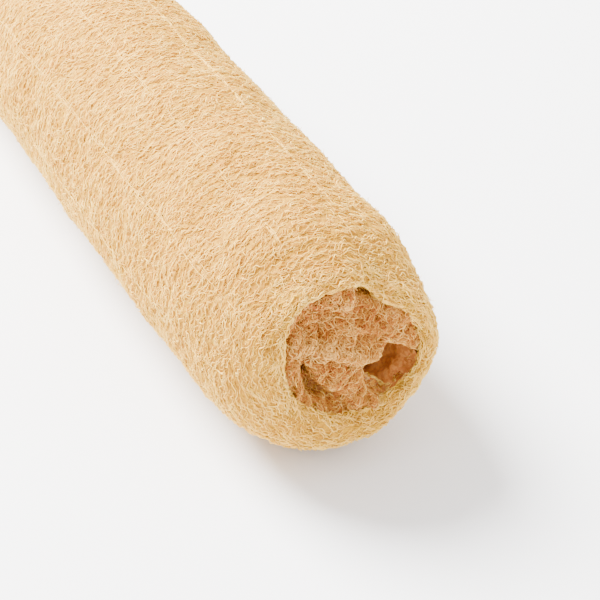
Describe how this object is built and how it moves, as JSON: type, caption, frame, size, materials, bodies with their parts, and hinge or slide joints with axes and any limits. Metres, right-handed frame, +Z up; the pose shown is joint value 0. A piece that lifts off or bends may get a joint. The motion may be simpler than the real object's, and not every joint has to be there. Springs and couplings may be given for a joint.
{
  "type": "natural loofah",
  "caption": "Whole natural loofah for scrubbing: a long dried gourd skeleton of matted fibre with a curled open mouth, seed channels inside and a closed stalk end.",
  "frame": {"origin": "on the surface that the loofah lies on, under the middle of its bounding box", "axes": "+Y along the fruit from the open mouth to the stalk end, +Z up from the resting side, +X to the right when looking into the mouth"},
  "size_m": [0.0742, 0.3188, 0.072],
  "materials": {
    "ring_fibre": "dry matted plant fibre, matt",
    "long_fibre": "dry matted plant fibre, matt, a little darker",
    "sponge": "open net of plant fibre, golden brown",
    "papery_skin": "thin dry membrane, slightly glossy, brown",
    "strand": "pale woody strand, matt",
    "stalk": "rough dry stalk wood"
  },
  "bodies": {
    "root": {"outer_mat": "ring_fibre", "inner_mat": "long_fibre", "mouth_sponge": "sponge", "core": "sponge", "web_1": "sponge", "web_2": "sponge", "web_3": "sponge", "channel_skin_1": "papery_skin", "channel_skin_2": "papery_skin", "channel_skin_3": "papery_skin", "core_strand_1": "strand", "core_strand_2": "strand", "core_strand_3": "strand", "rib_strand_1": "strand", "rib_strand_2": "strand", "rib_strand_3": "strand", "rib_strand_4": "strand", "rib_strand_5": "strand", "rib_strand_6": "strand", "rib_strand_7": "strand", "rib_strand_8": "strand", "rib_strand_9": "strand", "rib_strand_10": "strand", "stalk_stub": "stalk"}
  },
  "joints": []
}
